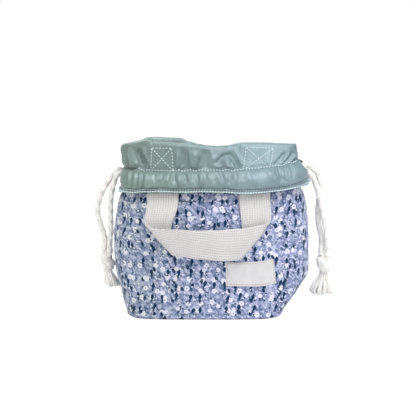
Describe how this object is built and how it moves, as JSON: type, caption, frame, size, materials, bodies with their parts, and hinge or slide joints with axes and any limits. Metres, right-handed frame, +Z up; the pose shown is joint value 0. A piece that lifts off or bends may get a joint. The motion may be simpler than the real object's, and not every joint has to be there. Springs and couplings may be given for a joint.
{
  "type": "drawstring snack bag",
  "caption": "Padded fabric bag with a boxed base, a turned-out lining cuff with a drawcord casing, knotted cord ends and hanging webbing handles.",
  "frame": {"origin": "under the middle of the bag, on the surface it stands on", "axes": "+Z up, the front with the label faces -Y, +X to the right seen from the front"},
  "size_m": [0.243, 0.109, 0.1738],
  "materials": {
    "printed_cotton": "matte small all-over flower print",
    "wadding": "soft matte",
    "lining": "smooth waterproof, satin",
    "webbing": "matte cotton weave",
    "cotton_cord": "matte braid",
    "label_tape": "matte plain weave"
  },
  "bodies": {
    "bag": {"outer_front_panel": "printed_cotton", "outer_back_panel": "printed_cotton", "insulation_front": "wadding", "insulation_back": "wadding", "lining_front": "lining", "lining_back": "lining", "cuff_front": "lining", "cuff_back": "lining", "casing_front": "lining", "casing_back": "lining", "handle_end_front_left": "webbing", "handle_end_front_right": "webbing", "handle_end_back_left": "webbing", "handle_end_back_right": "webbing", "label": "label_tape", "drawcord_run_left": "cotton_cord", "drawcord_run_right": "cotton_cord"},
    "front_handle": {"handle_front": "webbing"},
    "back_handle": {"handle_back": "webbing"},
    "left_cord_ends": {"drawcord_left_inner": "cotton_cord", "drawcord_left_outer": "cotton_cord", "knot_left": "cotton_cord", "tassel_left": "cotton_cord"},
    "right_cord_ends": {"drawcord_right_inner": "cotton_cord", "drawcord_right_outer": "cotton_cord", "knot_right": "cotton_cord", "tassel_right": "cotton_cord"}
  },
  "joints": [
    {"name": "front_handle_swing", "type": "hinge", "parent": "bag", "child": "front_handle", "pos_m": [0, -0.03985, 0.1199], "axis": [-1, 0, 0], "range_deg": [0, 125]},
    {"name": "back_handle_swing", "type": "hinge", "parent": "bag", "child": "back_handle", "pos_m": [0, 0.03985, 0.1199], "axis": [1, 0, 0], "range_deg": [0, 125]},
    {"name": "left_cord_swing", "type": "hinge", "parent": "bag", "child": "left_cord_ends", "pos_m": [-0.0878, 0, 0.1442], "axis": [0, 1, 0], "range_deg": [0, 80]},
    {"name": "right_cord_swing", "type": "hinge", "parent": "bag", "child": "right_cord_ends", "pos_m": [0.0925, 0, 0.1448], "axis": [0, -1, 0], "range_deg": [0, 40]}
  ]
}
